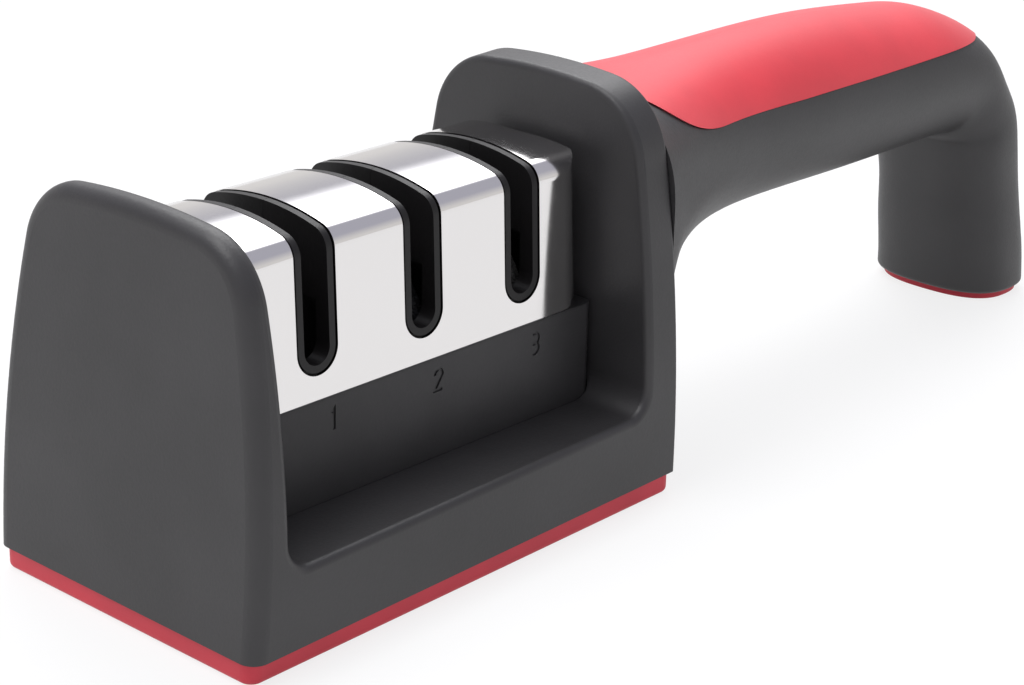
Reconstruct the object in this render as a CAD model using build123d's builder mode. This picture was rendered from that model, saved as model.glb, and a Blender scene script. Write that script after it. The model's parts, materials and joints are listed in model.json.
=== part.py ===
"""Pull through knife sharpener with three slots, a tall handle wall and a rear leg, in mm."""
import math
import os

from build123d import *

os.makedirs("parts", exist_ok=True)

# Overall
overall_length = 205.0
wall = 2.4
deck_thickness = 2.4
part_gap = 0.15
bearing_clearance = 0.05
screw_clearance = 0.2

# Base pad
pad_thickness = 3.3
pad_near_inset = 1.0
pad_far_inset = 0.5
pad_start_inset = 0.4
pad_corner_radius = 2.0
pad_edge_radius = 0.9
groove_count = 8
groove_width = 3.6
groove_depth = 1.0
groove_inset = 5.0

# Housing
housing_length = 85.2
near_lean = 0.073
near_rim_half = 26.0
near_mid_half = 25.15
near_top_half = 20.3
near_top_z = 56.9
far_rim_half = 24.2
far_mid_half = 23.0
far_top_half = 18.3
far_top_z = 61.4
side_mid_z = 30.0
top_crown = 1.7
near_corner_radius = 10.5
far_corner_radius = 11.5
near_edge_radius = 2.4
far_edge_radius = 0.6
window_edge_radius = 1.1
window_corner_radius = 3.8
near_inner_x = 6.6
near_inner_lean = 1.0
far_wall = 6.9
far_inner_lean = 0.8
ledge_z = 14.3
plate_thickness = 2.6
base_screw_near_x = 9.0
base_screw_end = 8.7
base_screw_inset = 5.5

# Cartridge
pitch_share = 0.2835
slot_shift = 0.15
cartridge_setback = 2.0
cartridge_gap = 0.2
panel_half = 13.2
panel_bottom_z = 7.9
panel_corner_radius = 1.5
flange_thickness = 2.0
flange_half = 20.5
flange_length = 8.0
flange_reach_share = 1.015
flange_screw_y = 17.0
frame_wall = 1.7
frame_floor_z = 18.9
clamp_screw_z = 11.1
clamp_boss_radius = 3.2
clamp_screw_length = 20.0
seam_half = 0.03
cover_bottom_z = 28.9
cover_bottom_half = 13.0
cover_top_half = 12.0
cover_shoulder_z = 50.9
cover_top_z = 52.8
cover_shoulder_radius = 3.2
cover_end_radius = 2.8
cover_corner_radius = 5.0
cover_thickness = 0.9
cover_setback = 0.8
core_gap = 0.2
slot_width = 7.3
slot_bottom_z = 32.3
rim_gap = 0.35
rim_width = 1.05
rim_drop = 0.1
digit_height = 3.0
digit_depth = 0.25
digit_stroke = 0.45
digit_z = 25.6
digit_shift = 2.5

# Sharpening stages
axle_z = 31.0
axle_radius = 1.5
wheel_radius = 9.0
wheel_inner_radius = 4.6
wheel_share = 0.198
wheel_flat = 0.9
wheel_gap = 0.3
end_play = 0.1
hub_radius = 3.2
bush_radius = 3.0
bush_length_share = 0.1726
bush_flange_radius = 4.2
bush_flange = 0.8
chamber_half_share = 0.2843
chamber_half_y = 10.0
chamber_top_z = 41.5
chamber_bottom_z = 20.5
rod_radius = 1.8
rod_end_gap = 0.3
rod_lean = 22.0
rod_cross_z = 35.6
rod_offset = 2.0
holder_height = 10.0
holder_half_y = 6.0

# Screws
screw_shank_radius = 1.45
screw_head_radius = 2.7
screw_head_height = 1.6
screw_drive_radius = 1.1
screw_drive_depth = 0.9
screw_length = 8.0
short_screw_length = 5.2
boss_radius = 3.4

# Handle
bend_pivot_inset = 25.5
bend_pivot_z = 29.5
handle_top_z = 57.7
handle_bottom_z = 31.9
handle_half = 13.3
bend_reach = 23.4
bend_inner = 1.8
leg_half_x = 9.6
leg_half_y = 13.4
leg_bottom_z = 1.3
leg_edge_radius = 0.9
leg_foot_inset = 9.51
leg_squareness = 2.57
neck_squareness = 3.4
handle_wall = 2.6
tongue_length = 3.8
tongue_half_y = 12.0
tongue_low_z = 37.0
tongue_high_z = 53.0
neck_solid = 8.0
handle_screw_half_y = 5.0
handle_screw_z = 45.0
handle_screw_length = 12.0
handle_seat_depth = 4.8
tongue_corner_radius = 2.0
neck_x_shares = [0, 0.018, 0.053, 0.109, 0.185, 0.29, 0.454, 0.655, 0.857]
neck_half_shares = [1.645, 1.6, 1.49, 1.335, 1.18, 1.05, 1, 1, 1]
neck_top_shares = [0.998, 0.994, 0.989, 0.99, 0.993, 1.001, 1.008, 1.001, 0.971]
neck_bottom_shares = [0.635, 0.69, 0.81, 0.89, 0.94, 0.977, 0.988, 0.98, 0.983]
neck_square_shares = [1, 0.9, 0.75, 0.55, 0.3, 0.1, 0, 0, 0]
bend_shares = [0, 0.25, 0.5, 0.75, 1]
bend_reach_shares = [1.006, 0.897, 0.79, 0.785, 0.806]
leg_z_shares = [0.746, 0.508, 0.271, 0.044, -0.1]
leg_x_shares = [0.9815, 0.988, 0.995, 0.999, 1.003]
leg_half_shares = [0.948, 0.969, 0.99, 1, 1.005]
bar_y_shares = [0, 0.5, 0.82, 0.975, 1, 0.9, 0.68, 0.38, 0]
bar_z_shares = [1, 0.935, 0.8, 0.635, 0.49, 0.31, 0.13, 0.03, 0]

# Grip
grip_thickness = 1.5
grip_proud = 0.25
grip_lip = 3.5
carrier_thickness = 2.0
grip_corner_reach = 9.0
grip_corner_z = 50.1
grip_rise = 1.4
grip_corner_radius = 24.0
grip_dip_reach = 42.8
grip_dip_z = 49.5
grip_far_edge_z = 49.4
grip_turn_inset = 40.0
grip_tip_length = 23.5
grip_tip_half = 13.5

# Foot
foot_half_x = 8.45
foot_half_y = 12.25
foot_pad_thickness = 2.4
foot_edge_radius = 0.5
foot_plug_thickness = 2.8
leg_boss_radius = 3.2
leg_boss_inset = 10.8
leg_boss_top_z = 41.0
leg_screw_length = 8.0

# Places and sizes that follow from the ones above
rim_z = pad_thickness
near_outline = (near_rim_half, near_mid_half, near_top_half, near_top_z, near_corner_radius)
far_outline = (far_rim_half, far_mid_half, far_top_half, far_top_z, far_corner_radius)
far_inner_x = housing_length - far_wall
cartridge_start_x = near_inner_x + cartridge_setback
cartridge_end_x = far_inner_x - cartridge_gap
frame_length = cartridge_end_x - cartridge_start_x
frame_middle_x = (cartridge_start_x + cartridge_end_x) / 2
slot_pitch = frame_length * pitch_share
slot_middle_x = frame_middle_x + slot_shift
stage_x = [slot_middle_x - slot_pitch, slot_middle_x, slot_middle_x + slot_pitch]
cavity_top_z = ledge_z - deck_thickness
plate_top_z = rim_z + plate_thickness
flange_top_z = panel_bottom_z + flange_thickness
seat_thickness = plate_thickness - screw_head_height
pilot_radius = screw_shank_radius + bearing_clearance
base_screw_near_y = near_rim_half - base_screw_inset
base_screw_far_y = far_rim_half - base_screw_inset
base_screw_far_x = housing_length - base_screw_end
flange_reach_x = slot_pitch * flange_reach_share
flange_x = [slot_middle_x - flange_reach_x, slot_middle_x + flange_reach_x]
cover_length = frame_length - 2 * cover_setback
tongue_height = tongue_high_z - tongue_low_z
handle_screw_places = [(-handle_screw_half_y, handle_screw_z), (handle_screw_half_y, handle_screw_z)]
cover_lean = (cover_bottom_half - cover_top_half) / (cover_shoulder_z - cover_bottom_z)
core_inset = cover_thickness + core_gap
rim_outer_width = slot_width - 2 * rim_gap
rim_inner_width = rim_outer_width - 2 * rim_width
rim_inner_z = slot_bottom_z + rim_gap + rim_width
neck_start_x = housing_length
handle_seat_x = housing_length - handle_seat_depth
bend_pivot_x = overall_length - bend_pivot_inset
leg_foot_x = overall_length - leg_foot_inset
leg_boss_x = overall_length - leg_boss_inset
grip_corner_x = neck_start_x + grip_corner_reach
grip_dip_x = neck_start_x + grip_dip_reach
grip_turn_x = overall_length - grip_turn_inset
neck_run = bend_pivot_x - neck_start_x
neck_sizes = list(zip(neck_x_shares, neck_half_shares, neck_top_shares, neck_bottom_shares))
leg_seat_z = foot_pad_thickness + screw_head_height - screw_clearance
plug_top_z = foot_pad_thickness + foot_plug_thickness
wheel_x = wheel_gap / 2
wheel_thickness = slot_pitch * wheel_share
chamber_half_x = slot_pitch * chamber_half_share
bush_length = slot_pitch * bush_length_share
bush_bore_radius = axle_radius + bearing_clearance
bush_end_x = chamber_half_x + bush_length - bush_flange
axle_length = 2 * (bush_end_x - end_play)
rod_turn = math.radians(rod_lean)
rod_length = 2 * (chamber_half_x - rod_radius * math.cos(rod_turn) - rod_end_gap) / math.sin(rod_turn)
holder_half_x = chamber_half_x - part_gap
clamp_places = [((stage_x[0] + stage_x[1]) / 2, clamp_screw_z), ((stage_x[1] + stage_x[2]) / 2, clamp_screw_z)]
bush_seat_x = chamber_half_x + bush_length - bush_flange + part_gap
rod_top_z = rod_cross_z + rod_length / 2
rod_chamber_half_y = rod_offset + rod_radius + part_gap
wheel_back_x = wheel_x + wheel_thickness
hub_end_x = chamber_half_x - bush_flange - end_play
tall = far_top_z * 2
broad = near_rim_half * 4


def body_outline(rim_half, mid_half, top_half, top_z, corner_radius, inset):
    """The housing's outline seen from its end, made smaller by inset, as a face in the current sketch."""
    high_z = top_z - inset
    top_corner = (top_half - inset, high_z - top_crown)
    top_corner_left = (inset - top_half, high_z - top_crown)
    with BuildLine() as outline:
        Line((inset - rim_half, rim_z), (rim_half - inset, rim_z))
        ThreePointArc((rim_half - inset, rim_z), (mid_half - inset, side_mid_z), top_corner)
        ThreePointArc(top_corner, (0, high_z), top_corner_left)
        ThreePointArc(top_corner_left, (inset - mid_half, side_mid_z), (inset - rim_half, rim_z))
    make_face(outline.edges())
    corners = vertices().group_by(Axis.Y)[-1]
    fillet(corners, radius=corner_radius)


def stadium(middle_x, width, low_z):
    """A slot shape with a round lower end and an open top, as a face in the current sketch."""
    near_x = middle_x - width / 2
    far_x = middle_x + width / 2
    turn_z = low_z + width / 2
    with BuildLine() as outline:
        ThreePointArc((near_x, turn_z), (middle_x, low_z), (far_x, turn_z))
        Polyline((far_x, turn_z), (far_x, far_top_z), (near_x, far_top_z), (near_x, turn_z))
    make_face(outline.edges())


# Housing: one black moulding, open below
with BuildPart() as housing:
    with BuildSketch(Plane.YZ):
        body_outline(*near_outline, 0)
    with BuildSketch(Plane.YZ.offset(housing_length)):
        body_outline(*far_outline, 0)
    loft(ruled=True)
    with BuildSketch(Plane.XZ):
        with BuildLine():
            Polyline((0, rim_z), (near_lean * (tall - rim_z), tall), (-wall, tall), (-wall, rim_z), close=True)
        make_face()
    extrude(amount=broad, both=True, mode=Mode.SUBTRACT)
    near_face = faces().sort_by(Axis.X)[0]
    near_edges = [e for e in near_face.edges() if e.center().Z > rim_z + wall]
    fillet(near_edges, radius=near_edge_radius)
    far_face = faces().sort_by(Axis.X)[-1]
    far_edges = [e for e in far_face.edges() if e.center().Z > rim_z + wall]
    fillet(far_edges, radius=far_edge_radius)
    # Window between the walls
    with BuildSketch(Plane.XZ):
        with BuildLine():
            Polyline(
                (near_inner_x, ledge_z),
                (far_inner_x, ledge_z),
                (far_inner_x + far_inner_lean, far_top_z),
                (far_inner_x + far_inner_lean, tall),
                (near_inner_x + near_inner_lean, tall),
                (near_inner_x + near_inner_lean, far_top_z),
                close=True,
            )
        make_face()
        fillet(vertices().group_by(Axis.Y)[0], radius=window_corner_radius)
    extrude(amount=broad, both=True, mode=Mode.SUBTRACT)
    fresh = edges(Select.LAST)
    fillet(fresh - fresh.filter_by(Axis.Y), radius=window_edge_radius)
    # Cavity from below
    with BuildSketch(Plane.YZ.offset(wall)):
        body_outline(*near_outline, wall)
    with BuildSketch(Plane.YZ.offset(housing_length - wall)):
        body_outline(*far_outline, wall)
    hollow = loft(ruled=True, mode=Mode.PRIVATE)
    add(split(hollow, bisect_by=Plane.XY.offset(cavity_top_z), keep=Keep.BOTTOM, mode=Mode.PRIVATE), mode=Mode.SUBTRACT)
    # Bosses under the deck
    boss_places = [(base_screw_near_x, side * base_screw_near_y) for side in (-1, 1)]
    boss_places += [(base_screw_far_x, side * base_screw_far_y) for side in (-1, 1)]
    flange_places = [(x, y) for x in flange_x for y in (-flange_screw_y, flange_screw_y)]
    with BuildSketch(Plane.XY.offset(plate_top_z)):
        with Locations(boss_places):
            Circle(boss_radius)
    extrude(amount=cavity_top_z + part_gap - plate_top_z)
    with BuildSketch(Plane.XY.offset(flange_top_z)):
        with Locations(flange_places):
            Circle(boss_radius)
    extrude(amount=cavity_top_z + part_gap - flange_top_z)
    # Pilot holes for the screws
    with BuildSketch(Plane.XY.offset(plate_top_z)):
        with Locations(boss_places):
            Circle(pilot_radius)
    extrude(amount=screw_length - seat_thickness + part_gap, mode=Mode.SUBTRACT)
    with BuildSketch(Plane.XY.offset(flange_top_z)):
        with Locations(flange_places):
            Circle(pilot_radius)
    extrude(amount=short_screw_length - flange_thickness + part_gap, mode=Mode.SUBTRACT)
    # Opening for the cartridge, cut up through the rounded corners of the window
    with BuildSketch(Plane.XY.offset(cavity_top_z - part_gap)):
        with Locations((frame_middle_x, 0)):
            RectangleRounded(frame_length + 2 * part_gap, 2 * (panel_half + part_gap), panel_corner_radius)
    extrude(amount=deck_thickness + window_corner_radius + part_gap, mode=Mode.SUBTRACT)
    # Socket for the handle's tongue, with two screw seats on the window side
    with BuildSketch(Plane.YZ.offset(housing_length)):
        with Locations((0, (tongue_low_z + tongue_high_z) / 2)):
            RectangleRounded(2 * (tongue_half_y + part_gap), tongue_height + 2 * part_gap, tongue_corner_radius)
    extrude(amount=-tongue_length - part_gap, mode=Mode.SUBTRACT)
    with BuildSketch(Plane.YZ.offset(far_inner_x - part_gap)):
        with Locations(handle_screw_places):
            Circle(screw_shank_radius + screw_clearance)
    extrude(amount=housing_length - far_inner_x, mode=Mode.SUBTRACT)
    with BuildSketch(Plane.YZ.offset(far_inner_x - part_gap)):
        with Locations(handle_screw_places):
            Circle(screw_head_radius + screw_clearance)
    extrude(amount=handle_seat_x - far_inner_x + part_gap, mode=Mode.SUBTRACT)

# Base plate: closes the housing from below
with BuildPart() as base_plate:
    with BuildSketch(Plane.XY.offset(rim_z)):
        with BuildLine():
            Polyline(
                (wall + part_gap, near_rim_half - wall - part_gap),
                (housing_length - wall - part_gap, far_rim_half - wall - part_gap),
                (housing_length - wall - part_gap, wall + part_gap - far_rim_half),
                (wall + part_gap, wall + part_gap - near_rim_half),
                close=True,
            )
        make_face()
        fillet(vertices(), radius=wall / 2)
    extrude(amount=plate_thickness)
    with BuildSketch(Plane.XY.offset(rim_z)):
        with Locations(boss_places):
            Circle(screw_shank_radius + screw_clearance)
    extrude(amount=plate_thickness, mode=Mode.SUBTRACT)
    with BuildSketch(Plane.XY.offset(rim_z)):
        with Locations(boss_places):
            Circle(screw_head_radius + screw_clearance)
    extrude(amount=screw_head_height, mode=Mode.SUBTRACT)

# Base pad: red rubber with grooves underneath
with BuildPart() as base_pad:
    with BuildSketch():
        with BuildLine():
            Polyline(
                (pad_start_inset, near_rim_half - pad_near_inset),
                (housing_length, far_rim_half - pad_far_inset),
                (housing_length, pad_far_inset - far_rim_half),
                (pad_start_inset, pad_near_inset - near_rim_half),
                close=True,
            )
        make_face()
        fillet(vertices(), radius=pad_corner_radius)
    extrude(amount=pad_thickness)
    fillet(edges().group_by(Axis.Z)[0], radius=pad_edge_radius)
    with BuildSketch():
        with Locations((housing_length / 2, 0)):
            with GridLocations((housing_length - 2 * groove_inset) / groove_count, 0, groove_count, 1):
                SlotOverall(2 * (far_rim_half - groove_inset), groove_width, rotation=90)
    extrude(amount=groove_depth, mode=Mode.SUBTRACT)
    with BuildSketch():
        with Locations(boss_places):
            Circle(screw_head_radius + screw_clearance)
    extrude(amount=pad_thickness, mode=Mode.SUBTRACT)


def screw(length):
    """A pan head screw: the head's seat is at the origin and the shank points up."""
    with BuildPart() as made:
        with BuildSketch():
            Circle(screw_head_radius)
        extrude(amount=-screw_head_height)
        fillet(edges().group_by(Axis.Z)[0], radius=screw_head_height / 3)
        with BuildSketch():
            Circle(screw_shank_radius)
        extrude(amount=length)
        chamfer(edges().group_by(Axis.Z)[-1], length=screw_shank_radius / 2)
        with BuildSketch(Plane.XY.offset(-screw_head_height)):
            Rectangle(2 * screw_drive_radius, screw_drive_radius / 2)
            Rectangle(screw_drive_radius / 2, 2 * screw_drive_radius)
        extrude(amount=screw_drive_depth, mode=Mode.SUBTRACT)
    return made.part


long_screw = screw(screw_length)
short_screw = screw(short_screw_length)
clamp_screw = screw(clamp_screw_length)
handle_screw = screw(handle_screw_length)
leg_screw_body = screw(leg_screw_length)

with BuildPart() as base_screws:
    with Locations([(x, y, rim_z + screw_head_height) for x, y in boss_places]):
        add(long_screw)

with BuildPart() as frame_screws:
    with Locations([(x, y, panel_bottom_z) for x, y in flange_places]):
        add(short_screw)


def cover_outline(inset):
    """The cover's outline seen from its end, made smaller by inset, as a face in the current sketch."""
    shoulder_z = cover_shoulder_z - inset
    low_y = cover_bottom_half - inset
    top_y = low_y - cover_lean * (shoulder_z - cover_bottom_z)
    with BuildLine() as outline:
        Polyline((-top_y, shoulder_z), (-low_y, cover_bottom_z), (low_y, cover_bottom_z), (top_y, shoulder_z))
        ThreePointArc((top_y, shoulder_z), (0, cover_top_z - inset), (-top_y, shoulder_z))
    make_face(outline.edges())
    fillet(vertices().group_by(Axis.Y)[-1], radius=cover_shoulder_radius - inset)


def cover_body(inset):
    """The cover's solid shape with leaning, rounded ends, made smaller all round by inset."""
    length = cover_length - 2 * inset
    height = cover_top_z - inset - cover_bottom_z
    top_length = length - 2 * cover_lean * height
    with BuildPart() as made:
        with BuildSketch(Plane.YZ.offset(frame_middle_x)):
            cover_outline(inset)
        extrude(amount=length / 2, both=True)
        with BuildSketch(Plane.XY.offset(cover_bottom_z)):
            with Locations((frame_middle_x, 0)):
                RectangleRounded(length, 2 * (cover_bottom_half - inset), cover_corner_radius - inset)
        extrude(amount=height, taper=math.degrees(math.atan(cover_lean)), mode=Mode.INTERSECT)
        with BuildSketch(Plane.XZ):
            with BuildLine():
                Polyline(
                    (frame_middle_x - length / 2, cover_bottom_z),
                    (frame_middle_x - top_length / 2, cover_bottom_z + height),
                    (frame_middle_x + top_length / 2, cover_bottom_z + height),
                    (frame_middle_x + length / 2, cover_bottom_z),
                    close=True,
                )
            make_face()
            fillet(vertices().group_by(Axis.Y)[-1], radius=cover_end_radius - inset)
        extrude(amount=broad, both=True, mode=Mode.INTERSECT)
    return made.part


def one(x, z):
    """The number 1 as a stroke in the current sketch, centred on a place."""
    half = digit_height / 2
    with BuildLine() as stroke:
        Polyline((x - half / 3, z + half * 2 / 3), (x, z + half), (x, z - half))
    trace(stroke.edges(), line_width=digit_stroke)


def two(x, z):
    """The number 2 as a stroke in the current sketch, centred on a place."""
    half = digit_height / 2
    bend = half / 2
    with BuildLine() as stroke:
        bow = ThreePointArc((x - bend, z + bend), (x, z + half), (x + bend, z + bend))
        Polyline(bow @ 1, (x - bend, z - half), (x + bend, z - half))
    trace(stroke.edges(), line_width=digit_stroke)


def three(x, z):
    """The number 3 as a stroke in the current sketch, centred on a place."""
    half = digit_height / 2
    bend = half / 2
    for low in (z, z - half):
        with BuildLine(mode=Mode.PRIVATE) as bowl:
            ThreePointArc((x - bend / 2, low + half), (x + bend, low + bend), (x - bend / 2, low))
        SlotArc(bowl.edge(), digit_stroke)


# Rims that stand round the slots, up to the cover's surface
with BuildPart() as slot_rims:
    add(cover_body(rim_drop))
    with BuildSketch(Plane.XZ):
        for x in stage_x:
            stadium(x, rim_outer_width, slot_bottom_z + rim_gap)
    extrude(amount=broad, both=True, mode=Mode.INTERSECT)

# Cartridge frame: both halves before they are parted
with BuildPart() as frame_whole:
    with BuildSketch(Plane.XY.offset(panel_bottom_z)):
        with Locations((frame_middle_x, 0)):
            RectangleRounded(frame_length, 2 * panel_half, panel_corner_radius)
    extrude(amount=cover_bottom_z - panel_bottom_z)
    # Flanges that hold it under the deck
    with BuildSketch(Plane.XY.offset(panel_bottom_z)):
        with Locations([(x, 0) for x in flange_x]):
            RectangleRounded(flange_length, 2 * flange_half, boss_radius)
    extrude(amount=flange_thickness)
    # Core inside the cover, with the rims of the slots
    add(cover_body(core_inset))
    add(slot_rims.part)
    # Knife slots, right through from front to back
    with BuildSketch(Plane.XZ):
        for x in stage_x:
            stadium(x, rim_inner_width, rim_inner_z)
    extrude(amount=broad, both=True, mode=Mode.SUBTRACT)
    # Hollow underneath
    with BuildSketch(Plane.XY.offset(panel_bottom_z)):
        with Locations((frame_middle_x, 0)):
            Rectangle(frame_length - 2 * frame_wall, 2 * (panel_half - frame_wall))
    extrude(amount=frame_floor_z - panel_bottom_z, mode=Mode.SUBTRACT)
    # Bosses for the screws that clamp the halves
    with BuildSketch(Plane.XZ):
        with Locations(clamp_places):
            Circle(clamp_boss_radius)
            with Locations((0, (frame_floor_z - clamp_screw_z) / 2)):
                Rectangle(2 * frame_wall, frame_floor_z - clamp_screw_z)
    extrude(amount=panel_half, both=True)
    with BuildSketch(Plane.XZ.offset(panel_half)):
        with Locations(clamp_places):
            Circle(screw_head_radius + screw_clearance)
    extrude(amount=-screw_head_height, mode=Mode.SUBTRACT)
    with BuildSketch(Plane.XZ.offset(panel_half)):
        with Locations(clamp_places):
            Circle(pilot_radius)
    extrude(amount=-screw_head_height - clamp_screw_length - part_gap, mode=Mode.SUBTRACT)
    # Flange holes
    with BuildSketch(Plane.XY.offset(panel_bottom_z)):
        with Locations(flange_places):
            Circle(screw_shank_radius + screw_clearance)
    extrude(amount=flange_thickness, mode=Mode.SUBTRACT)
    # Chambers round the wheels and the rods
    with BuildSketch(Plane.XY.offset(chamber_bottom_z)):
        with Locations([(x, 0) for x in stage_x]):
            Rectangle(2 * chamber_half_x, 2 * chamber_half_y)
    extrude(amount=chamber_top_z - chamber_bottom_z, mode=Mode.SUBTRACT)
    # Rod chamber runs up to the slot's mouth
    with BuildSketch(Plane.XZ):
        with Locations((stage_x[0], (chamber_bottom_z + rod_top_z) / 2)):
            Rectangle(2 * chamber_half_x, rod_top_z - chamber_bottom_z)
    extrude(amount=rod_chamber_half_y, both=True, mode=Mode.SUBTRACT)
    # Seats for the wheel bushes
    with BuildSketch(Plane.YZ.offset(stage_x[1] - bush_seat_x)):
        with Locations((0, axle_z)):
            Circle(bush_radius + part_gap / 2)
    extrude(amount=2 * bush_seat_x, mode=Mode.SUBTRACT)
    with BuildSketch(Plane.YZ.offset(stage_x[2] - bush_seat_x)):
        with Locations((0, axle_z)):
            Circle(bush_radius + part_gap / 2)
    extrude(amount=2 * bush_seat_x, mode=Mode.SUBTRACT)

with BuildPart() as frame_front:
    add(split(frame_whole.part, bisect_by=Plane.XZ.offset(seam_half), keep=Keep.TOP, mode=Mode.PRIVATE))
    with BuildSketch(Plane.XZ.offset(panel_half)):
        for x, draw in zip(stage_x, (one, two, three)):
            draw(x + digit_shift, digit_z)
    extrude(amount=-digit_depth, mode=Mode.SUBTRACT)

with BuildPart() as frame_rear:
    add(split(frame_whole.part, bisect_by=Plane.XZ.offset(-seam_half), keep=Keep.BOTTOM, mode=Mode.PRIVATE))

with BuildPart() as clamp_screws:
    with Locations([Location((x, screw_head_height - panel_half, z), (-90, 0, 0)) for x, z in clamp_places]):
        add(clamp_screw)

# Cover: plated cap over the core
with BuildPart() as cover:
    add(cover_body(0))
    add(cover_body(cover_thickness), mode=Mode.SUBTRACT)
    with BuildSketch(Plane.XZ):
        for x in stage_x:
            stadium(x, slot_width, slot_bottom_z)
    extrude(amount=broad, both=True, mode=Mode.SUBTRACT)


def wheel(middle_x, side):
    """One abrasive wheel with a coned inner side; side is -1 for the near wheel and 1 for the far one."""
    with BuildPart() as made:
        with BuildSketch(Plane.XZ):
            with BuildLine():
                Polyline(
                    (middle_x + side * wheel_x, axle_z + bush_bore_radius),
                    (middle_x + side * wheel_x, axle_z + wheel_inner_radius),
                    (middle_x + side * (wheel_back_x - wheel_flat), axle_z + wheel_radius),
                    (middle_x + side * wheel_back_x, axle_z + wheel_radius),
                    (middle_x + side * wheel_back_x, axle_z + hub_radius),
                    (middle_x + side * hub_end_x, axle_z + hub_radius),
                    (middle_x + side * hub_end_x, axle_z + bush_bore_radius),
                    close=True,
                )
            make_face()
        revolve(axis=Axis((0, 0, axle_z), (1, 0, 0)))
    return made.part


def axle(middle_x):
    """The steel shaft of one wheel stage."""
    with BuildPart() as made:
        with BuildSketch(Plane.YZ.offset(middle_x - axle_length / 2)):
            with Locations((0, axle_z)):
                Circle(axle_radius)
        extrude(amount=axle_length)
        chamfer(edges().filter_by(GeomType.CIRCLE), length=axle_radius / 5)
    return made.part


def bushes(middle_x):
    """The two flanged bushes that carry one axle."""
    with BuildPart() as made:
        with BuildSketch(Plane.XZ):
            for side in (-1, 1):
                with BuildLine():
                    Polyline(
                        (middle_x + side * (chamber_half_x - bush_flange), axle_z + bush_bore_radius),
                        (middle_x + side * (chamber_half_x - bush_flange), axle_z + bush_flange_radius),
                        (middle_x + side * chamber_half_x, axle_z + bush_flange_radius),
                        (middle_x + side * chamber_half_x, axle_z + bush_radius),
                        (middle_x + side * bush_end_x, axle_z + bush_radius),
                        (middle_x + side * bush_end_x, axle_z + bush_bore_radius),
                        close=True,
                    )
                make_face()
        revolve(axis=Axis((0, 0, axle_z), (1, 0, 0)))
    return made.part


# Wheel stages
with BuildPart() as stage2_axle:
    add(axle(stage_x[1]))

with BuildPart() as stage2_wheel_near:
    add(wheel(stage_x[1], -1))

with BuildPart() as stage2_wheel_far:
    add(wheel(stage_x[1], 1))

with BuildPart() as stage2_bushes:
    add(bushes(stage_x[1]))

with BuildPart() as stage3_axle:
    add(axle(stage_x[2]))

with BuildPart() as stage3_wheel_near:
    add(wheel(stage_x[2], -1))

with BuildPart() as stage3_wheel_far:
    add(wheel(stage_x[2], 1))

with BuildPart() as stage3_bushes:
    add(bushes(stage_x[2]))


def rod_place(side):
    """Where one crossed rod's middle stands, leaning to one side; side is -1 or 1."""
    return Location((stage_x[0], side * rod_offset, rod_cross_z), (0, side * rod_lean, 0))


def rod(side, radius, length):
    """One straight rod, centred on its crossing point."""
    with BuildPart() as made:
        with Locations(rod_place(side)):
            Cylinder(radius, length)
    return made.part


# Crossed rods of the first stage and the block that holds them
with BuildPart() as rod_front:
    add(rod(-1, rod_radius, rod_length))

with BuildPart() as rod_rear:
    add(rod(1, rod_radius, rod_length))

with BuildPart() as rod_holder:
    with BuildSketch(Plane.XY.offset(chamber_bottom_z)):
        with Locations((stage_x[0], 0)):
            Rectangle(2 * holder_half_x, 2 * holder_half_y)
    extrude(amount=holder_height)
    chamfer(edges().group_by(Axis.Z)[-1], length=holder_half_x / 6)
    add(rod(-1, rod_radius + bearing_clearance, rod_length), mode=Mode.SUBTRACT)
    add(rod(1, rod_radius + bearing_clearance, rod_length), mode=Mode.SUBTRACT)


def handle_section(plane, half, low, high, square, squareness):
    """One closed section of the handle; square blends the bar's shape (0) into a rounded block's (1)."""
    right = []
    for number, (y_share, z_share) in enumerate(zip(bar_y_shares, bar_z_shares)):
        turn = math.pi * number / (len(bar_y_shares) - 1)
        block_y = abs(math.sin(turn)) ** (2 / squareness)
        block_u = (1 + math.copysign(abs(math.cos(turn)) ** (2 / squareness), math.cos(turn))) / 2
        y = half * (y_share + (block_y - y_share) * square)
        u = low + (high - low) * (z_share + (block_u - z_share) * square)
        right.append((y, u))
    left = [(-y, u) for y, u in reversed(right[1:-1])]
    with BuildSketch(plane) as section:
        with BuildLine() as outline:
            Spline(*right, *left, periodic=True)
        make_face(outline.edges())
    return section.sketch


def leg_section(z, middle_x, half_x, half_y):
    """One level section of the leg."""
    level = Plane((0, 0, z), (0, 1, 0), (0, 0, -1))
    return handle_section(level, half_y, middle_x - half_x, middle_x + half_x, 1, leg_squareness)


def handle_body(inset):
    """The handle's outer shape from the neck to below the foot, made smaller all round by inset."""
    sections = []
    for (x_share, half_share, top_share, bottom_share), square in zip(neck_sizes, neck_square_shares):
        plane = Plane((neck_start_x + x_share * neck_run, 0, 0), (0, 1, 0), (1, 0, 0))
        half = handle_half * half_share - inset
        low = handle_bottom_z * bottom_share + inset
        high = handle_top_z * top_share - inset
        sections.append(handle_section(plane, half, low, high, square, neck_squareness))
    for bend_share, reach_share in zip(bend_shares, bend_reach_shares):
        turn = bend_share * math.pi / 2
        plane = Plane((bend_pivot_x, 0, bend_pivot_z), (0, 1, 0), (math.cos(turn), 0, -math.sin(turn)))
        half = handle_half - inset
        low = bend_inner + inset
        high = bend_reach * reach_share - inset
        sections.append(handle_section(plane, half, low, high, bend_share, leg_squareness))
    for z_share, x_share, half_share in zip(leg_z_shares, leg_x_shares, leg_half_shares):
        half_x = leg_half_x * half_share - inset
        half_y = leg_half_y * half_share - inset
        sections.append(leg_section(bend_pivot_z * z_share, leg_foot_x * x_share, half_x, half_y))
    with BuildPart() as made:
        loft(sections)
    return made.part


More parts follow.
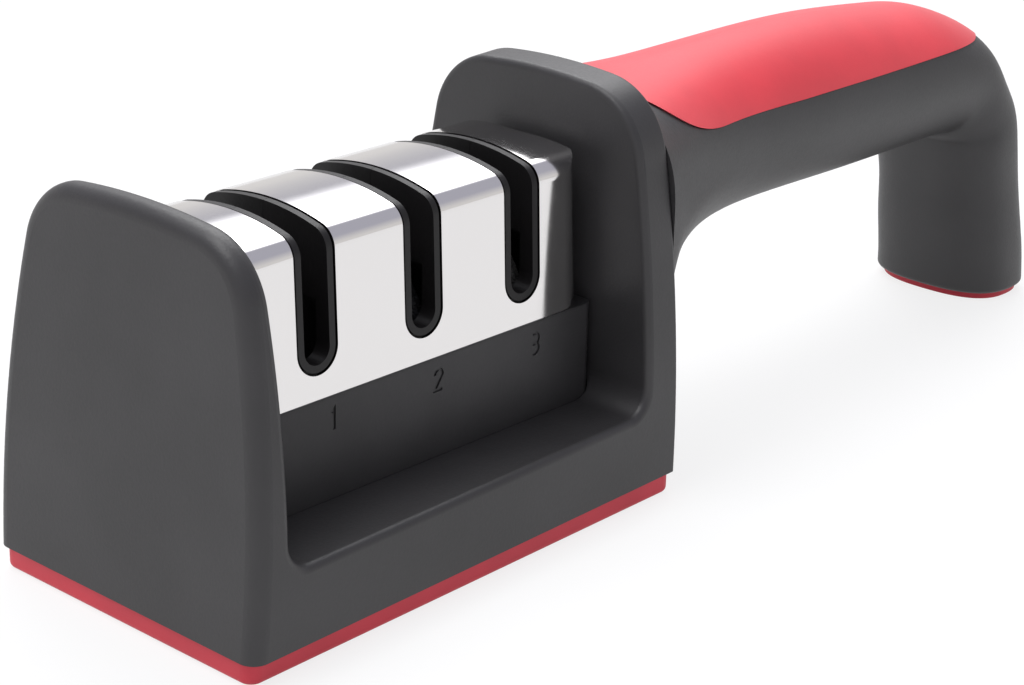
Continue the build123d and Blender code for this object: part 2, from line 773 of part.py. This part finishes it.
def grip_zone(inset):
    """The zone above the grip's edge, seen from the side and from above, made smaller by inset."""
    with BuildPart() as made:
        with BuildSketch(Plane.XZ):
            with BuildLine():
                Polyline(
                    (grip_corner_x - (tall - grip_corner_z) / grip_rise, tall),
                    (grip_corner_x, grip_corner_z),
                    (grip_dip_x, grip_dip_z),
                    (overall_length, grip_far_edge_z),
                    (overall_length, tall),
                    close=True,
                )
            make_face()
            corner = vertices().sort_by_distance((grip_corner_x, grip_corner_z))[:1]
            dip = vertices().sort_by_distance((grip_dip_x, grip_dip_z))[:1]
            fillet(corner + dip, radius=grip_corner_radius)
            offset(amount=-inset, kind=Kind.INTERSECTION, mode=Mode.REPLACE)
        extrude(amount=broad, both=True)
        with BuildSketch():
            with Locations((grip_turn_x, 0)):
                Ellipse(grip_tip_length - inset, grip_tip_half - inset)
            with Locations((grip_turn_x / 2, 0)):
                Rectangle(grip_turn_x, broad)
        extrude(amount=tall, mode=Mode.INTERSECT)
    return made.part


def foot_block(low_z, high_z, half_x, half_y):
    """An upright block with the leg's rounded outline round the foot."""
    high_section = leg_section(high_z, leg_foot_x, half_x, half_y)
    with BuildPart() as made:
        extrude(high_section, amount=high_z - low_z)
    return made.part


# Handle: neck, bar and leg in one hollow moulding, open under the leg and under the grip
outer_body = handle_body(0)
inner_body = handle_body(handle_wall)
recess_body = handle_body(grip_thickness)
with BuildPart() as handle:
    add(split(outer_body, bisect_by=Plane.XY.offset(leg_bottom_z), keep=Keep.TOP, mode=Mode.PRIVATE))
    foot_rim = edges().group_by(Axis.Z)[0]
    fillet(foot_rim, radius=leg_edge_radius)
    # Hollow from the solid neck to the foot
    add(
        split(inner_body, bisect_by=Plane.YZ.offset(neck_start_x + neck_solid), keep=Keep.TOP, mode=Mode.PRIVATE),
        mode=Mode.SUBTRACT,
    )
    # Recess for the grip and the opening under it
    recess = (outer_body - recess_body) & grip_zone(-part_gap)
    opening = (recess_body - inner_body) & grip_zone(grip_lip - part_gap)
    add(recess, mode=Mode.SUBTRACT)
    add(opening, mode=Mode.SUBTRACT)
    # Tongue that enters the housing
    with BuildSketch(Plane.YZ.offset(neck_start_x + part_gap)):
        with Locations((0, (tongue_low_z + tongue_high_z) / 2)):
            RectangleRounded(2 * tongue_half_y, tongue_height, tongue_corner_radius)
    extrude(amount=-tongue_length - part_gap)
    with BuildSketch(Plane.YZ.offset(neck_start_x - tongue_length)):
        with Locations(handle_screw_places):
            Circle(pilot_radius)
    extrude(amount=handle_screw_length - handle_seat_x + neck_start_x - tongue_length, mode=Mode.SUBTRACT)
    # Post for the leg's screw, ending inside the wall of the bend
    with BuildSketch(Plane.XY.offset(plug_top_z), mode=Mode.PRIVATE) as post:
        with Locations((leg_boss_x, 0)):
            Circle(leg_boss_radius)
    add(extrude(post.sketch, amount=leg_boss_top_z - plug_top_z, mode=Mode.PRIVATE) & recess_body)
    with BuildSketch(Plane.XY.offset(plug_top_z)):
        with Locations((leg_boss_x, 0)):
            Circle(pilot_radius)
    extrude(amount=leg_screw_length - plug_top_z + leg_seat_z + part_gap, mode=Mode.SUBTRACT)
    # Seat for the foot pad in the leg's lower edge
    add(foot_block(leg_bottom_z, foot_pad_thickness, foot_half_x + part_gap, foot_half_y + part_gap), mode=Mode.SUBTRACT)

with BuildPart() as handle_screws:
    with Locations([Location((handle_seat_x, y, z), (0, 90, 0)) for y, z in handle_screw_places]):
        add(handle_screw)

# Grip: hard carrier in the opening and a soft skin over it
with BuildPart() as grip_carrier:
    carrier_body = handle_body(grip_thickness + carrier_thickness)
    add((recess_body - carrier_body) & grip_zone(grip_lip))

with BuildPart() as grip:
    proud_body = handle_body(-grip_proud)
    add((proud_body - recess_body) & grip_zone(0))

# Foot: plug in the leg, its screw and the red pad
with BuildPart() as leg_plug:
    plug_body = handle_body(handle_wall + part_gap)
    plug_slab = foot_block(foot_pad_thickness, plug_top_z, 2 * leg_half_x, 2 * leg_half_y)
    add(plug_body & plug_slab)
    with BuildSketch(Plane.XY.offset(foot_pad_thickness)):
        with Locations((leg_boss_x, 0)):
            Circle(screw_shank_radius + screw_clearance)
    extrude(amount=foot_plug_thickness, mode=Mode.SUBTRACT)
    with BuildSketch(Plane.XY.offset(foot_pad_thickness)):
        with Locations((leg_boss_x, 0)):
            Circle(screw_head_radius + screw_clearance)
    extrude(amount=leg_seat_z - foot_pad_thickness, mode=Mode.SUBTRACT)

with BuildPart() as leg_screw:
    with Locations((leg_boss_x, 0, leg_seat_z)):
        add(leg_screw_body)

with BuildPart() as foot_pad:
    add(foot_block(0, foot_pad_thickness, foot_half_x, foot_half_y))
    fillet(edges().group_by(Axis.Z)[0], radius=foot_edge_radius)
    with BuildSketch():
        with Locations((leg_boss_x, 0)):
            Circle(screw_head_radius + screw_clearance)
    extrude(amount=foot_pad_thickness, mode=Mode.SUBTRACT)

nodes = {
    "housing": housing,
    "base_plate": base_plate,
    "base_pad": base_pad,
    "base_screws": base_screws,
    "frame_front": frame_front,
    "frame_rear": frame_rear,
    "frame_screws": frame_screws,
    "clamp_screws": clamp_screws,
    "cover": cover,
    "rod_front": rod_front,
    "rod_rear": rod_rear,
    "rod_holder": rod_holder,
    "stage2_axle": stage2_axle,
    "stage2_wheel_near": stage2_wheel_near,
    "stage2_wheel_far": stage2_wheel_far,
    "stage2_bushes": stage2_bushes,
    "stage3_axle": stage3_axle,
    "stage3_wheel_near": stage3_wheel_near,
    "stage3_wheel_far": stage3_wheel_far,
    "stage3_bushes": stage3_bushes,
    "handle": handle,
    "handle_screws": handle_screws,
    "grip_carrier": grip_carrier,
    "grip": grip,
    "leg_plug": leg_plug,
    "leg_screw": leg_screw,
    "foot_pad": foot_pad,
}
for name, made in nodes.items():
    shape = made.part.moved(Location((-overall_length / 2, 0, 0)))
    shape.label = name
    export_step(shape, f"parts/{name}.step")
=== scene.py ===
"""Looks of the pull through knife sharpener: camera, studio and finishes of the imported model, in metres."""
import json
import math

import bpy
from mathutils import Matrix, Vector

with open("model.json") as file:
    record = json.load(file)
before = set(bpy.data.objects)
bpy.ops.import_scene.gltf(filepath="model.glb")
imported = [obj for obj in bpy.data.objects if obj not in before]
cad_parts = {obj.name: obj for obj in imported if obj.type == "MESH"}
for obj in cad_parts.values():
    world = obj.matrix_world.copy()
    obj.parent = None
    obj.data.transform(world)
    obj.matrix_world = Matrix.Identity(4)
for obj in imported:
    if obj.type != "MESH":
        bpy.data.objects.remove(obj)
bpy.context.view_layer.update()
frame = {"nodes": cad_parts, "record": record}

nodes = frame["nodes"]
scene = bpy.context.scene
scene.view_settings.view_transform = "Standard"

# Camera, fitted to the photograph
camera_place = Vector((-0.290221, -0.235528, 0.155506))
camera_azimuth = -48.18
camera_elevation = 21.066
camera_roll = 1.501
camera_lens = 89.573
camera_sensor = 36.0
camera_clip_start = 0.01
camera_clip_end = 20.0

# Floor
floor_half = 3.0
floor_white = (0.9, 0.9, 0.9, 1.0)
floor_roughness = 0.8
floor_specular = 0.1
floor_glow = 0.8

# Room: its colour runs from sky_low to sky_high between two heights, given as shares
sky_low = (1.0, 0.98, 0.97, 1.0)
sky_low_share = 0.1
sky_high = (0.62, 0.62, 0.71, 1.0)
sky_high_share = 0.45
sky_strength = 0.8

# Wide soft glow behind and above the object
back_glow_way = Vector((0.46, 0.42, 0.78))
back_glow_start = 0.86
back_glow_strength = 6.5

# Lamp over the near end
side_lamp_place = Vector((-0.35, 0.15, 0.9))
side_lamp_target = Vector((0.0, 0.0, 0.03))
side_lamp_size = 0.5
side_lamp_power = 5.0

# Colours, linear
body_black = (0.026, 0.025, 0.026)
panel_black = (0.032, 0.031, 0.032)
# A deeper black than the body's: painted shade for the parts inside the slots
slot_shade_black = (0.007, 0.0063, 0.0066)
bush_grey = (0.55, 0.53, 0.48)
chrome_tint = (0.74, 0.725, 0.72)
steel_tint = (0.52, 0.52, 0.53)
dark_grit = (0.03, 0.03, 0.033)
fine_grit = (0.045, 0.044, 0.042)
grip_red = (0.68, 0.036, 0.052)
grip_sheen = (1.0, 0.8, 0.8)
pad_red = (0.56, 0.03, 0.05)
pad_sheen = (1.0, 0.7, 0.7)

# Patterns: how many features lie on a metre
moulded_clouds = 45.0
body_grain = 2200.0
panel_grain = 2000.0
inner_grain = 1500.0
bush_grain = 1800.0
rubber_clouds = 60.0
rubber_grain = 3200.0
plating_waves = 70.0
plating_haze = 420.0
turned_rings = 900.0
coarse_grains = 2600.0
fine_grains = 4200.0

# Depths of the bumps
moulded_depth = 0.00004
rubber_depth = 0.00002
plating_wave_depth = 0.0001
ring_depth = 0.00001
grit_depth = 0.00015

# The cartridge turns to the deeper black from this height up, over a short blend, as painted shade inside the
# slots
slot_shade_z = 0.0285
slot_shade_blend = 0.001


def new_material(name):
    """A new material, its node tree and its shader."""
    made = bpy.data.materials.new(name)
    made.use_nodes = True
    tree = made.node_tree
    shader = tree.nodes["Principled BSDF"]
    return made, tree, shader


def noise(tree, scale, detail, roughness=0.5):
    """The 0 to 1 output of a noise texture in the object's own coordinates."""
    place = tree.nodes.new("ShaderNodeTexCoord")
    made = tree.nodes.new("ShaderNodeTexNoise")
    made.inputs["Scale"].default_value = scale
    made.inputs["Detail"].default_value = detail
    made.inputs["Roughness"].default_value = roughness
    tree.links.new(place.outputs["Object"], made.inputs["Vector"])
    return made.outputs["Fac"]


def uneven_roughness(tree, shader, source, smoothest, roughest):
    """Lets a 0 to 1 output move the roughness between two values."""
    made = tree.nodes.new("ShaderNodeMapRange")
    made.inputs["To Min"].default_value = smoothest
    made.inputs["To Max"].default_value = roughest
    tree.links.new(source, made.inputs["Value"])
    tree.links.new(made.outputs["Result"], shader.inputs["Roughness"])


def tinted(colour, share):
    """The colour made lighter or darker by a share, with an alpha of 1."""
    return (*(min(1.0, c * share) for c in colour), 1.0)


def uneven_colour(tree, shader, source, colour, darkest, lightest, low=0.35, high=0.65):
    """Lets a 0 to 1 output, between low and high, move the colour between two shares of itself."""
    ramp = tree.nodes.new("ShaderNodeValToRGB")
    dark, light = ramp.color_ramp.elements
    dark.position = low
    light.position = high
    dark.color = tinted(colour, darkest)
    light.color = tinted(colour, lightest)
    tree.links.new(source, ramp.inputs["Fac"])
    tree.links.new(ramp.outputs["Color"], shader.inputs["Base Color"])


def bumps(tree, shader, source, depth, strength):
    """Adds a bump of a depth to the shader's normal."""
    bump = tree.nodes.new("ShaderNodeBump")
    bump.inputs["Distance"].default_value = depth
    bump.inputs["Strength"].default_value = strength
    tree.links.new(source, bump.inputs["Height"])
    tree.links.new(bump.outputs["Normal"], shader.inputs["Normal"])


def moulded(name, colour, roughness, grain):
    """Moulded plastic with a fine spark-eroded grain and faint cloudiness."""
    made, tree, shader = new_material(name)
    cloud = noise(tree, moulded_clouds, detail=4.0)
    fine = noise(tree, grain, detail=2.0, roughness=0.6)
    uneven_colour(tree, shader, cloud, colour, darkest=0.86, lightest=1.14)
    uneven_roughness(tree, shader, fine, roughness - 0.06, roughness + 0.08)
    bumps(tree, shader, fine, moulded_depth, strength=0.6)
    return made


def cartridge_black_with_slot_shade(name, colour, painted_shade_colour, roughness, grain):
    """Moulded plastic that turns to a deeper black inside the slots, as painted shade for the slots' shadow.
    """
    made = moulded(name, colour, roughness, grain)
    tree = made.node_tree
    shader = tree.nodes["Principled BSDF"]
    # Painted shade: from a height up, the base colour mixes over to the deeper black
    place = tree.nodes.new("ShaderNodeTexCoord")
    height = tree.nodes.new("ShaderNodeSeparateXYZ")
    painted_shade_mask = tree.nodes.new("ShaderNodeMapRange")
    painted_shade_mask.inputs["From Min"].default_value = slot_shade_z
    painted_shade_mask.inputs["From Max"].default_value = slot_shade_z + slot_shade_blend
    mix = tree.nodes.new("ShaderNodeMix")
    mix.data_type = "RGBA"
    share, outer, shaded_socket = mix.inputs[0], mix.inputs[6], mix.inputs[7]
    shaded_socket.default_value = (*painted_shade_colour, 1.0)
    cloudy = shader.inputs["Base Color"].links[0].from_socket
    tree.links.new(place.outputs["Object"], height.inputs["Vector"])
    tree.links.new(height.outputs["Z"], painted_shade_mask.inputs["Value"])
    tree.links.new(painted_shade_mask.outputs["Result"], share)
    tree.links.new(cloudy, outer)
    tree.links.new(mix.outputs[2], shader.inputs["Base Color"])
    shader.inputs["Specular IOR Level"].default_value = 0.3
    return made


def rubber(name, colour, sheen, roughness):
    """Soft rubber with a sheen and a powdery grain."""
    made, tree, shader = new_material(name)
    cloud = noise(tree, rubber_clouds, detail=5.0)
    fine = noise(tree, rubber_grain, detail=2.0, roughness=0.6)
    uneven_colour(tree, shader, cloud, colour, darkest=0.93, lightest=1.07)
    uneven_roughness(tree, shader, fine, roughness - 0.05, roughness + 0.07)
    shader.inputs["Sheen Weight"].default_value = 0.15
    shader.inputs["Sheen Roughness"].default_value = 0.4
    shader.inputs["Sheen Tint"].default_value = (*sheen, 1.0)
    bumps(tree, shader, fine, rubber_depth, strength=0.3)
    return made


def plated(name, colour, roughness):
    """Bright plating over a moulded cap, with the faint waves of the moulding."""
    made, tree, shader = new_material(name)
    wave = noise(tree, plating_waves, detail=1.0)
    haze = noise(tree, plating_haze, detail=3.0)
    shader.inputs["Base Color"].default_value = (*colour, 1.0)
    shader.inputs["Metallic"].default_value = 1.0
    uneven_roughness(tree, shader, haze, roughness - 0.02, roughness + 0.03)
    bumps(tree, shader, wave, plating_wave_depth, strength=0.05)
    return made


def turned(name, colour, roughness):
    """Turned steel with fine rings across the X axis."""
    made, tree, shader = new_material(name)
    place = tree.nodes.new("ShaderNodeTexCoord")
    rings = tree.nodes.new("ShaderNodeTexWave")
    rings.bands_direction = "X"
    rings.inputs["Scale"].default_value = turned_rings
    rings.inputs["Distortion"].default_value = 1.5
    tree.links.new(place.outputs["Object"], rings.inputs["Vector"])
    ring = rings.outputs["Fac"]
    shader.inputs["Metallic"].default_value = 1.0
    uneven_colour(tree, shader, ring, colour, darkest=0.85, lightest=1.1)
    uneven_roughness(tree, shader, ring, roughness - 0.05, roughness + 0.08)
    bumps(tree, shader, ring, ring_depth, strength=0.3)
    return made


def gritty(name, colour, grains, metallic):
    """Bonded abrasive: separate grains with light and dark faces."""
    made, tree, shader = new_material(name)
    place = tree.nodes.new("ShaderNodeTexCoord")
    cells = tree.nodes.new("ShaderNodeTexVoronoi")
    cells.inputs["Scale"].default_value = grains
    tree.links.new(place.outputs["Object"], cells.inputs["Vector"])
    split = tree.nodes.new("ShaderNodeSeparateColor")
    tree.links.new(cells.outputs["Color"], split.inputs["Color"])
    red = split.outputs["Red"]
    uneven_colour(tree, shader, red, colour, darkest=0.55, lightest=1.6, low=0.2, high=0.95)
    uneven_roughness(tree, shader, split.outputs["Green"], smoothest=0.35, roughest=0.8)
    shader.inputs["Metallic"].default_value = metallic
    bumps(tree, shader, cells.outputs["Distance"], grit_depth, strength=0.8)
    return made


def aim(obj, place, target):
    """Puts obj at place, looking at target."""
    obj.location = place
    obj.rotation_euler = (target - place).to_track_quat("-Z", "Y").to_euler()


# Camera
camera_data = bpy.data.cameras.new("photo_camera")
camera_data.lens = camera_lens
camera_data.sensor_width = camera_sensor
camera_data.clip_start = camera_clip_start
camera_data.clip_end = camera_clip_end
camera = bpy.data.objects.new("photo_camera", camera_data)
scene.collection.objects.link(camera)
turn = math.radians(camera_azimuth)
rise = math.radians(camera_elevation)
back = Vector((math.sin(turn) * math.cos(rise), -math.cos(turn) * math.cos(rise), math.sin(rise)))
aim(camera, camera_place, camera_place - back)
level_view = camera.rotation_euler.to_matrix()
roll = Matrix.Rotation(math.radians(camera_roll), 3, "Z")
camera.rotation_euler = (level_view @ roll).to_euler()
scene.camera = camera

# Floor: white to the camera and to mirrors, and it keeps a soft shadow
floor_mesh = bpy.data.meshes.new("floor")
corners = [(x * floor_half, y * floor_half, 0) for x, y in ((-1, -1), (1, -1), (1, 1), (-1, 1))]
floor_mesh.from_pydata(corners, [], [(0, 1, 2, 3)])
floor = bpy.data.objects.new("floor", floor_mesh)
scene.collection.objects.link(floor)
floor_finish, tree, shader = new_material("floor_finish")
shader.inputs["Base Color"].default_value = floor_white
shader.inputs["Roughness"].default_value = floor_roughness
shader.inputs["Specular IOR Level"].default_value = floor_specular
glow = tree.nodes.new("ShaderNodeEmission")
path = tree.nodes.new("ShaderNodeLightPath")
seen = path.outputs["Is Camera Ray"]
for ray in ("Is Glossy Ray", "Is Transmission Ray"):
    either = tree.nodes.new("ShaderNodeMath")
    either.operation = "MAXIMUM"
    tree.links.new(seen, either.inputs[0])
    tree.links.new(path.outputs[ray], either.inputs[1])
    seen = either.outputs[0]
share = tree.nodes.new("ShaderNodeMath")
share.operation = "MULTIPLY"
share.inputs[1].default_value = floor_glow
mix = tree.nodes.new("ShaderNodeMixShader")
tree.links.new(seen, share.inputs[0])
tree.links.new(share.outputs[0], mix.inputs["Fac"])
tree.links.new(shader.outputs["BSDF"], mix.inputs[1])
tree.links.new(glow.outputs["Emission"], mix.inputs[2])
tree.links.new(mix.outputs["Shader"], tree.nodes["Material Output"].inputs["Surface"])
floor_mesh.materials.append(floor_finish)

# World: a pale room that darkens a little overhead
world = bpy.data.worlds.new("studio")
scene.world = world
world.use_nodes = True
tree = world.node_tree
place = tree.nodes.new("ShaderNodeTexCoord")
height = tree.nodes.new("ShaderNodeSeparateXYZ")
sky = tree.nodes.new("ShaderNodeValToRGB")
low_sky, high_sky = sky.color_ramp.elements
low_sky.position = sky_low_share
low_sky.color = sky_low
high_sky.position = sky_high_share
high_sky.color = sky_high
tree.links.new(place.outputs["Generated"], height.inputs["Vector"])
tree.links.new(height.outputs["Z"], sky.inputs["Fac"])

# The glow is brightest at its middle and fades out at back_glow_start
nearness = tree.nodes.new("ShaderNodeVectorMath")
nearness.operation = "DOT_PRODUCT"
nearness.inputs[1].default_value = back_glow_way.normalized()
soft = tree.nodes.new("ShaderNodeMapRange")
soft.interpolation_type = "SMOOTHSTEP"
soft.inputs["From Min"].default_value = back_glow_start
soft.inputs["To Max"].default_value = back_glow_strength
lifted = tree.nodes.new("ShaderNodeVectorMath")
lifted.operation = "ADD"
background = tree.nodes["Background"]
background.inputs["Strength"].default_value = sky_strength
tree.links.new(place.outputs["Generated"], nearness.inputs[0])
tree.links.new(nearness.outputs["Value"], soft.inputs["Value"])
tree.links.new(sky.outputs["Color"], lifted.inputs[0])
tree.links.new(soft.outputs["Result"], lifted.inputs[1])
tree.links.new(lifted.outputs["Vector"], background.inputs["Color"])

# Lamp
lamp_data = bpy.data.lights.new("side_lamp", "AREA")
lamp_data.size = side_lamp_size
lamp_data.energy = side_lamp_power
lamp = bpy.data.objects.new("side_lamp", lamp_data)
scene.collection.objects.link(lamp)
aim(lamp, side_lamp_place, side_lamp_target)

# Finishes, by the slot names of the model
finishes = {
    "body": moulded("body_plastic", body_black, 0.45, body_grain),
    # The panel gets painted shade inside its slots
    "panel": cartridge_black_with_slot_shade("panel_plastic_slot_shade", panel_black, slot_shade_black, 0.42, panel_grain),
    # The inner parts are coloured all over with the painted slot shade black
    "hard_black": moulded("inner_plastic_painted_shade", slot_shade_black, 0.5, inner_grain),
    "bush_plastic": moulded("bush_plastic", bush_grey, 0.35, bush_grain),
    "cover_plating": plated("chrome_plating", chrome_tint, 0.08),
    "steel": turned("turned_steel", steel_tint, 0.28),
    "abrasive_dark": gritty("dark_abrasive", dark_grit, coarse_grains, metallic=0.6),
    "abrasive_white": gritty("fine_abrasive", fine_grit, fine_grains, metallic=0.0),
    "red_grip": rubber("grip_rubber", grip_red, grip_sheen, 0.5),
    "red_rubber": rubber("pad_rubber", pad_red, pad_sheen, 0.55),
}
for entry in frame["record"]["subparts"]:
    for slot in nodes[entry["node"]].material_slots:
        slot.material = finishes[entry["material_slot"]]
